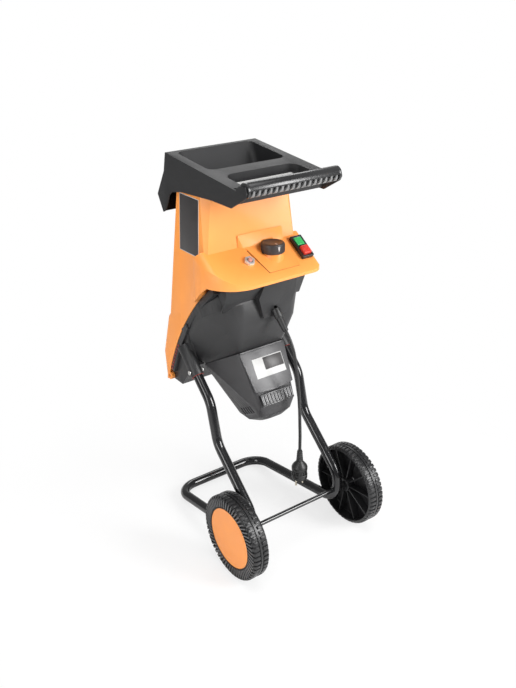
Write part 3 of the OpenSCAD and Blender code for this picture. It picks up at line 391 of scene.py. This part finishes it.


# Lower housing: one charcoal moulding with the cutting chamber, the motor barrel, the cable block and
# the leg sockets. Thin red washers line the socket mouths, and a row of dark red ribs paints shade into the
# joint gap.
charcoal = soft_finish("charcoal_moulding", (0.019, 0.019, 0.020), (0.027, 0.027, 0.028),
    (0.38, 0.50), 9, 1700, 0.0003, Specular_IOR_Level=0.4)
dress("lower_housing", charcoal, 1.2)
# Red for the socket washers; on the joint ribs the same dark red is painted shade for the shadowed gap
# between the housings.
washer_red_and_gap_shade = soft_finish("washer_red_and_gap_shade", (0.16, 0.012, 0.008), (0.26, 0.022, 0.014),
    (0.45, 0.6), 60, 1500, 0.0002)
socket_tilt = math.atan2(0.7262, 0.6875)
socket_at = (0.194 - mid, 0.382)
washer_line = [(11.35, -0.9), (13.8, -0.9), (14.15, -0.5), (14.15, -0.05), (11.35, -0.05)]
joint_centre, joint_gap_radius = (-213.9, 192.0), 534.5
column_top, side_slope = 790, 22 / 452


def side_at(face, z):
    return (face + side_slope * (column_top - z)) / 1000


trim_bm = bmesh.new()
for side in (-1, 1):
    socket = Matrix.Translation((side * leg_x, *socket_at)) @ Matrix.Rotation(-socket_tilt, 4, "X")
    turned(trim_bm, washer_line, socket, 48, closed=True)
    # Dark red ribs along the joint: painted shade standing in for the shadowed gap.
    for rib in range(9):
        angle = math.radians(26.3 - 0.95 * rib)
        rib_y = joint_centre[0] + joint_gap_radius * math.cos(angle)
        rib_z = joint_centre[1] + joint_gap_radius * math.sin(angle)
        rib_at = Vector((side * side_at(106.6, rib_z), rib_y / 1000 - mid, rib_z / 1000))
        shade_rib = slab((1.6, 6.5, 4.6), 0.5)
        merge(trim_bm, shade_rib, Matrix.Translation(rib_at) @ Matrix.Rotation(angle, 4, "X"))
add_piece("joint_gap_shade_ribs", trim_bm, "chassis", "red_plastic", washer_red_and_gap_shade)

# Side hooks: a small moulded clip on each joint flange that a service cover hooks under, snapped into
# the flange and left in the same charcoal.
hook_y, hook_z = 0.2345 - mid, 480
hook_lean = Matrix.Rotation(math.radians(-44), 4, "X")
hook_bm = bmesh.new()
for side in (-1, 1):
    hook_place = Matrix.Translation((side * side_at(106.4, hook_z), hook_y, hook_z / 1000)) @ hook_lean
    merge(hook_bm, slab((3.4, 30, 13), 1.0), hook_place)
    merge(hook_bm, slab((5.2, 9, 13), 1.2), hook_place @ Matrix.Translation((0, -0.0105, 0)))
add_piece("side_hooks", hook_bm, "chassis", "charcoal_plastic", charcoal)

# Motor: a universal motor in the barrel, with a laminated stator, a wound armature on a steel shaft, a
# copper commutator with brass brush holders, a moulded fan and a cast end plate between two bearings.
lamination = brushed_metal("lamination", (0.22, 0.22, 0.23), (0.38, 0.38, 0.39),
    (0.34, 0.5), (60, 60, 2400))
machined = brushed_metal("machined_steel", (0.48, 0.48, 0.50), (0.66, 0.66, 0.68),
    (0.18, 0.32), (140, 140, 1100))
winding = brushed_metal("copper_winding", (0.42, 0.16, 0.07), (0.66, 0.29, 0.15),
    (0.26, 0.42), (900, 900, 300))
brass = brushed_metal("brass", (0.56, 0.40, 0.16), (0.76, 0.58, 0.28), (0.22, 0.36), (500, 500, 500))
cast = soft_finish("cast_aluminium", (0.36, 0.36, 0.37), (0.50, 0.50, 0.51),
    (0.42, 0.6), 60, 700, 0.0006, Metallic=1.0)
dress("stator", lamination, 0.3)
dress("armature", winding, 0.3)
dress("commutator", winding, 0.2)
dress("brush_holders", brass, 0.4)
dress("motor_end_plate", cast, 0.5)
dress("cooling_fan", satin_black)
for node in ("motor_shaft", "upper_bearing", "lower_bearing"):
    dress(node, machined, 0.25)

# Cutter: a ground steel disc on the motor shaft with two reversible blades, held by countersunk bolts
# from below and one large bolt in the middle.
blade_steel = brushed_metal("ground_blade", (0.52, 0.53, 0.55), (0.74, 0.75, 0.77),
    (0.16, 0.3), (1600, 120, 120))
dress("blade_disc", machined, 0.4)
dress("blades", blade_steel, 0.5)
dress("blade_bolts", satin_black, 0.4)
dress("disc_bolt", zinc, 0.5)

# Motor cover: a grey moulding hooked under the housing in front and screwed on at the rear, with a
# raised front panel, a bare pale rating plate and cooling slots along its lower end.
cover_grey = soft_finish("cover_grey", (0.032, 0.031, 0.033), (0.043, 0.042, 0.044),
    (0.34, 0.46), 9, 1700, 0.0003)
panel_grey = soft_finish("panel_grey", (0.050, 0.049, 0.051), (0.064, 0.063, 0.066),
    (0.26, 0.36), 9, 1900, 0.0002)
dress("motor_cover", cover_grey, 1.4)
dress("cover_screws", zinc, 0.3)
shaft_place = Matrix.Translation((0, 0.207 - mid, 0.490)) @ Matrix.Rotation(math.radians(-30), 4, "X")
panel_lean = Matrix.Rotation(math.radians(-1.375), 4, "X")
panel_outline = [(-59, -2.5), (59, -2.5)]
panel_outline += [(49.5 - 99 * n / 12, -90 - 5 * math.sin(math.pi * n / 12)) for n in range(13)]
panel_place = shaft_place @ Matrix.Translation((0, -0.048, -0.08075)) @ panel_lean
panel_bm = bmesh.new()
merge(panel_bm, prism(panel_outline, 2.8, 0.9, 3), panel_place)
vent_bars, bar_pitch, vent_z = 10, 0.0085, -0.111
for bar in range(vent_bars):
    bar_x = (bar - (vent_bars - 1) / 2) * bar_pitch
    merge(panel_bm, slab((4.4, 2.2, 26), 0.7), panel_place @ Matrix.Translation((bar_x, 0, vent_z)))
for rail in (-0.0995, -0.1228):
    merge(panel_bm, slab((81, 2.2, 3.4), 0.7), panel_place @ Matrix.Translation((0, 0, rail)))
merge(panel_bm, slab((78, 0.6, 22), 0), panel_place @ Matrix.Translation((0, 0.0011, vent_z)))
add_piece("cover_panel", panel_bm, "chassis", "grey_plastic", panel_grey)
plate_white = soft_finish("plate_white", (0.56, 0.56, 0.55), (0.64, 0.64, 0.63),
    (0.34, 0.46), 30, 1800, 0.0001)
plate_bm = bmesh.new()
merge(plate_bm, slab((77, 1.0, 43), 0.3), panel_place @ Matrix.Translation((0.004, -0.0014, -0.0425)))
add_piece("rating_plate", plate_bm, "chassis", "steel", plate_white)
plate_dark = soft_finish("plate_dark", (0.030, 0.027, 0.027), (0.042, 0.038, 0.038),
    (0.34, 0.44), 30, 1800, 0.0001)
field_bm = bmesh.new()
merge(field_bm, slab((49, 1.0, 27), 0.2), panel_place @ Matrix.Translation((0.0167, -0.0018, -0.0363)))
add_piece("plate_field", field_bm, "chassis", "black_plastic", plate_dark)

# Lock and hinge: a pressed steel keeper that the lock bolt slides into, a small safety switch in front of it
# and two steel pins at the lower rear on which the upper housing tilts.
dress("lock_keeper", zinc, 0.5)
dress("interlock_switch", satin_black, 0.6)
dress("hinge_pins", zinc, 0.6)

# Mains lead: a short rubber-sheathed flex that leaves the cable block through its sleeve, bends
# down under its own weight and hangs straight to the plug.
gland_at = Vector((0.019, 0.100 - mid, 0.536))
gland_way = Vector((0.04, -0.66, -0.75)).normalized()
gland_len = 0.052
lead_exit = gland_at + gland_way * (gland_len + 0.00025)
hang = [(23.5, 49, 471), (26, 42, 447), (28, 39, 420), (31, 37, 395), (33, 36, 370), (35, 36, 340),
    (37, 36, 310), (38, 36, 280), (39, 36, 250), (39, 36, 230), (39, 36, 212)]
lead_route = [lead_exit, gland_at + gland_way * 0.062]
lead_route += [Vector((x / 1000, y / 1000 - mid, z / 1000)) for x, y, z in hang]
lead_d = 0.007
lead_curve = bpy.data.curves.new("mains_lead", "CURVE")
lead_curve.dimensions = "3D"
lead_curve.bevel_depth = lead_d / 2
lead_curve.bevel_resolution = 6
lead_curve.resolution_u = 10
lead_curve.use_fill_caps = True
lead_line = lead_curve.splines.new("BEZIER")
lead_line.bezier_points.add(len(lead_route) - 1)
for knot, spot in zip(lead_line.bezier_points, lead_route):
    knot.co = spot
    knot.handle_left_type = knot.handle_right_type = "AUTO"
mains_lead = bpy.data.objects.new("mains_lead", lead_curve)
scene.collection.objects.link(mains_lead)
lead_rubber = soft_finish("lead_rubber", (0.010, 0.010, 0.010), (0.018, 0.018, 0.018),
    (0.36, 0.46), 90, 1400, 0.0002)
lead_curve.materials.append(lead_rubber)
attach(mains_lead, "chassis")
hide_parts("power_cord")

# Strain relief: a black rubber sleeve moulded onto the lead, with a collar that seats in the cable
# block and a long taper that keeps the lead from kinking.
relief_bm = bmesh.new()
relief_line = [(0, 0.3), (9, 0.3), (9.5, 0.8), (9.5, 19.2), (8.9, 20.2), (7.8, 20.4), (7.5, 21)]
relief_line += [(7.5 - 0.05 * step, 22 + step) for step in range(0, 27, 3)]
relief_line += [(6.1, 50.2), (5.6, 51.5), (4.8, 52), (0, 52)]
gland_turn = gland_way.to_track_quat("Z", "Y").to_matrix().to_4x4()
turned(relief_bm, relief_line, Matrix.Translation(gland_at) @ gland_turn, 40)
add_piece("strain_sleeve", relief_bm, "chassis", "black_rubber", lead_rubber, "strain_relief")

# Plug: moulded onto the lead, with a stack of rings on its neck for grip, a round body with finger
# ribs, and two round plated pins.
plug_x, plug_y, pin_half = 0.039, 0.036 - mid, 0.0095
plug_place = Matrix.Translation((plug_x, plug_y, 0))
plug_bm = bmesh.new()
plug_line = [(0, 212), (4.8, 212), (5.4, 211.4)]
for ring in range(5):
    ring_top, ring_r = 209.5 - 5.2 * ring, 6.2 + 0.35 * ring
    plug_line += [(ring_r - 0.9, ring_top), (ring_r, ring_top - 0.8), (ring_r, ring_top - 2.8)]
    plug_line += [(ring_r - 0.9, ring_top - 3.6)]
plug_line += [(8.6, 182.5), (10.5, 180.5), (14.5, 175.5), (17, 171.6), (17.9, 169), (17.9, 163.4),
    (17.2, 162.4), (15.8, 161.8), (15.8, 152.4), (17.2, 151.8), (17.9, 150.8), (17.9, 141.4), (17.2, 140.2),
    (0, 140.2)]
turned(plug_bm, plug_line, plug_place, 48)
grip = slab((2.2, 2.6, 9.8), 0.6)
bmesh.ops.translate(grip, vec=(0.0162, 0, 0.1571), verts=grip.verts)
merge(plug_bm, around(grip, 16), plug_place)
plug = add_piece("plug", plug_bm, "chassis", "black_rubber", lead_rubber, "plug_body")
pin_plating = brushed_metal("pin_plating", (0.55, 0.50, 0.40), (0.72, 0.67, 0.56),
    (0.18, 0.32), (900, 900, 60))
pins_bm = bmesh.new()
pin_line = [(0, 121), (1.4, 121), (2.1, 121.7), (2.4, 122.8), (2.4, 139.98), (0, 139.98)]
for pin_x in (plug_x - pin_half, plug_x + pin_half):
    turned(pins_bm, pin_line, Matrix.Translation((pin_x, plug_y, 0)), 24)
plug_pins = add_piece("pins", pins_bm, "chassis", "plated_brass", pin_plating, "plug_pins")

# Upper housing: one orange moulding with the column, the control shelf and the hood over the discharge.
# It tilts back on the hinge pins. A bare dark instruction plate with a pale border sits on its left side.
orange = soft_finish("orange_moulding", (0.92, 0.325, 0.066), (0.97, 0.355, 0.076),
    (0.34, 0.42), 10, 1800, 0.00015)
dress("upper_housing", orange, 1.6, 3)
notice_y, notice_z = 0.2165 - mid, 713.5
side_turn = Matrix.Rotation(math.atan(side_slope), 4, "Y") @ Matrix.Rotation(math.pi / 2, 4, "Z")
side_place = Matrix.Translation((-side_at(107, notice_z), notice_y, notice_z / 1000)) @ side_turn
border_bm = bmesh.new()
merge(border_bm, slab((73, 0.7, 119), 0.2), side_place)
add_piece("plate_border", border_bm, "upper_housing", "steel", plate_white)
notice_bm = bmesh.new()
merge(notice_bm, slab((70.6, 1.0, 116.6), 0.3), side_place)
add_piece("notice_plate", notice_bm, "upper_housing", "black_plastic", plate_dark)

# Feed chute: a charcoal funnel that leads branches from the hopper down to the disc, screwed under the
# hopper, with a ground counter blade at its lower end.
dress("feed_chute", charcoal)
dress("counter_blade", blade_steel, 0.5)
dress("counter_blade_screws", satin_black, 0.5)

# Hopper: a deep charcoal moulding with the mouth, a shallow tray behind the handle and two side arms,
# screwed to the column from below. A bare pale plate lies in the tray.
hopper_grey = soft_finish("hopper_grey", (0.016, 0.016, 0.017), (0.023, 0.023, 0.024),
    (0.46, 0.58), 8, 1500, 0.0004, Specular_IOR_Level=0.3)
dress("hopper", hopper_grey, 1.5, 3)
dress("hopper_screws", zinc, 0.3)
rim_place = Matrix.Translation((0, 0.296 - mid, 0.846)) @ Matrix.Rotation(math.radians(5.8), 4, "X")
tray_bm = bmesh.new()
merge(tray_bm, slab((140, 44, 0.8), 0.3), rim_place @ Matrix.Translation((0, -0.205, -0.0146)))
add_piece("tray_plate", tray_bm, "upper_housing", "steel", plate_white)

# Carry handle: a satin black bar between the hopper arms, with a smooth upper shell, a cap at each end
# and a softer grey insert below with a row of wedge shaped teeth for the fingers.
handle_black = soft_finish("handle_black", (0.014, 0.014, 0.015), (0.022, 0.022, 0.023),
    (0.20, 0.30), 14, 1700, 0.0002)
handle_place = Matrix.Translation((0, 0.022 - mid, 0.824)) @ Matrix.Rotation(-math.pi / 2, 4, "Z")


def sector(outer, inner, start, end, count=24):
    sweep_angles = [math.radians(start + (end - start) * n / count) for n in range(count + 1)]
    return [(outer * math.cos(a), outer * math.sin(a)) for a in sweep_angles] + [
        (inner * math.cos(a), inner * math.sin(a)) for a in reversed(sweep_angles)]


handle_r = 14.45
handle_bm = bmesh.new()
merge(handle_bm, prism(sector(handle_r, 9.6, 2, 215), 210, 0.6), handle_place)
merge(handle_bm, prism(sector(10.4, 0.1, 0, 358), 209, 0), handle_place)
for end in (-1, 1):
    end_cap = prism(sector(handle_r, 0.1, 0, 359, 48), 4.6, 1.2, 3)
    merge(handle_bm, end_cap, handle_place @ Matrix.Translation((0, end * 0.1063, 0)))
add_piece("grip_bar", handle_bm, "upper_housing", "charcoal_plastic", handle_black, "carry_handle")
insert_grey = soft_finish("insert_grey", (0.17, 0.17, 0.17), (0.23, 0.23, 0.23),
    (0.42, 0.54), 30, 1500, 0.0002)
insert_bm = bmesh.new()
teeth, tooth_pitch, tooth_arc, tip_share = 16, 0.0129, 80, 0.25
for tooth in range(teeth):
    wedge = prism(sector(14.2, 9.9, -tooth_arc, 1, 10), 10.6, 0)
    for corner in wedge.verts:
        reach = min(1, math.atan2(-corner.co.z, corner.co.x) / math.radians(tooth_arc))
        corner.co.y *= tip_share + (1 - tip_share) * reach
    tooth_y = (tooth - (teeth - 1) / 2) * tooth_pitch
    merge(insert_bm, wedge, handle_place @ Matrix.Translation((0, tooth_y, 0)))
merge(insert_bm, prism(sector(14.3, 9.9, -108, -72, 8), 206, 0.4), handle_place)
add_piece("grip_insert", insert_bm, "upper_housing", "charcoal_plastic", insert_grey)

# Console: an orange cover around the knob pocket, moulded on its own and clipped onto the shelf. Thin
# dark red strips along its left and front edges are painted shade in the seam against the shelf.
dress("knob_console", orange, 1.2)
# Dark red seam strips: painted shade for the shadow in the gap between console and shelf.
seam_painted_shade = soft_finish("seam_shadow", (0.10, 0.016, 0.004), (0.16, 0.028, 0.006),
    (0.5, 0.65), 40, 1500, 0.0001)
shelf_place = Matrix.Translation((0, 0.083 - mid, 0.618)) @ Matrix.Rotation(math.radians(34), 4, "X")


def strip(bm, start, end, width, height, place):
    start, end = Vector(start), Vector(end)
    along = end - start
    middle = (start + end) / 2000
    merge(bm, slab((along.length, width, height), 0), place @ Matrix.Translation((middle.x, middle.y, 0))
        @ Matrix.Rotation(math.atan2(along.y, along.x), 4, "Z"))


seam_shade_bm = bmesh.new()
strip(seam_shade_bm, (-19.8, 74.5), (-0.8, 9.8), 1.4, 0.5, shelf_place)
strip(seam_shade_bm, (-0.8, 9.8), (77, 9.8), 0.5, 0.4, shelf_place)
add_piece("console_seam_shade", seam_shade_bm, "upper_housing", "black_plastic", seam_painted_shade)

# Locking knob: a dark moulded knob with fine ridges around its side and a pale pointer, pressed onto the
# steel lock bolt that reaches down into the keeper.
knob_dark = soft_finish("knob_dark", (0.032, 0.026, 0.026), (0.046, 0.038, 0.037),
    (0.34, 0.46), 30, 1600, 0.0003)
knob_scale = Matrix.Diagonal((1.087, 1.087, 1.105, 1))
knob_place = Matrix.Translation((0.035, 0.129 - mid, 0.651)) @ knob_scale
knob_line = [(4.2, 0.3), (21.4, 0.3), (22.1, 1.0), (22.3, 2), (22.1, 15.6), (21.8, 17.2), (20.9, 18.3),
    (19.6, 18.8), (17.5, 18.9), (16.5, 18.2), (0, 18.0), (0, 13.5), (4.2, 13.5)]
knob_ridges = 36
knob_bm = bmesh.new()
turned(knob_bm, knob_line, knob_place, 96)
ridge = slab((1.5, 2.2, 14), 0.5)
bmesh.ops.translate(ridge, vec=(0.02205, 0, 0.0089), verts=ridge.verts)
merge(knob_bm, around(ridge, knob_ridges), knob_place)
add_piece("knob", knob_bm, "knob", "black_plastic", knob_dark, "lock_knob")
pointer_pale = soft_finish("pointer_pale", (0.50, 0.47, 0.45), (0.60, 0.57, 0.55),
    (0.38, 0.5), 40, 1600, 0.0001)
pointer_place = knob_place @ Matrix.Rotation(math.atan2(-0.95, -0.10) + math.pi / 2, 4, "Z")
lay_flat = Matrix.Rotation(math.pi / 2, 4, "X")
pointer_bm = bmesh.new()
wedge_mark = prism([(-2.6, 0), (2.6, 0), (0.5, -9), (-0.5, -9)], 1.4, 0.3)
merge(pointer_bm, wedge_mark, pointer_place @ Matrix.Translation((0, -0.0222, 0.0152)))
top_mark = prism([(-1.3, -4), (1.3, -4), (1.3, 4), (-1.3, 4)], 0.8, 0.3)
merge(pointer_bm, top_mark, pointer_place @ Matrix.Translation((0, -0.0125, 0.0181)) @ lay_flat)
add_piece("knob_pointer", pointer_bm, "knob", "steel", pointer_pale)
dress("lock_bolt", zinc, 0.6)

# Switch: a snap-in no-volt switch with a black body, a flush green start key and a raised red stop key
# that spring back when pressed.
switch_place = shelf_place @ Matrix.Translation((0.1035, 0.049, 0))
switch_black = soft_finish("switch_black", (0.012, 0.010, 0.010), (0.020, 0.017, 0.017),
    (0.26, 0.36), 40, 1700, 0.0002)
dress("switch_body", switch_black, 1.4, 3)
start_green = soft_finish("start_green", (0.035, 0.40, 0.11), (0.05, 0.48, 0.14),
    (0.24, 0.34), 40, 1700, 0.0001)
stop_red = soft_finish("stop_red", (0.60, 0.040, 0.026), (0.70, 0.055, 0.036),
    (0.24, 0.34), 40, 1700, 0.0001)
key_y = 0.013
start_bm = bmesh.new()
merge(start_bm, slab((18.9, 19.9, 12.7), 1.1, 3), switch_place @ Matrix.Translation((0, key_y, 0.00363)))
merge(start_bm, slab((12.5, 13.5, 1.0), 0.4), switch_place @ Matrix.Translation((0, key_y, 0.00945)))
add_piece("start_key", start_bm, "start_button", "green_plastic", start_green, "start_button")
stop_bm = bmesh.new()
merge(stop_bm, slab((18.9, 19.9, 17.7), 1.5, 3), switch_place @ Matrix.Translation((0, -key_y, 0.00613)))
boss_angles = [math.tau * n / 32 for n in range(32)]
boss = prism([(6.2 * math.cos(a), 6.2 * math.sin(a)) for a in boss_angles], 0.8, 0.3)
merge(stop_bm, boss, switch_place @ Matrix.Translation((0, -key_y, 0.01455)) @ lay_flat)
add_piece("stop_key", stop_bm, "stop_button", "red_plastic", stop_red, "stop_button")

# Overload reset: a small breaker under the shelf, held by a chromed nut, with a red button in its neck
# that is pressed to reset it.
chrome = brushed_metal("chrome", (0.86, 0.86, 0.86), (0.94, 0.94, 0.94),
    (0.28, 0.38), (300, 300, 300), 0.7)
reset_place = shelf_place @ Matrix.Translation((-0.030, 0.0475, 0))
dress("breaker", satin_black, 0.3)
dress("breaker_nut", chrome, 0.7)
reset_red = soft_finish("reset_red", (0.60, 0.27, 0.23), (0.68, 0.34, 0.29),
    (0.28, 0.4), 60, 1700, 0.0001)
reset_bm = bmesh.new()
turned(reset_bm, [(0, -6.2), (4.45, -6.2), (4.45, 8.8), (4.1, 9.5), (3.4, 9.8), (0, 9.9)], reset_place, 40)
add_piece("reset_key", reset_bm, "reset_button", "red_plastic", reset_red, "reset_button")
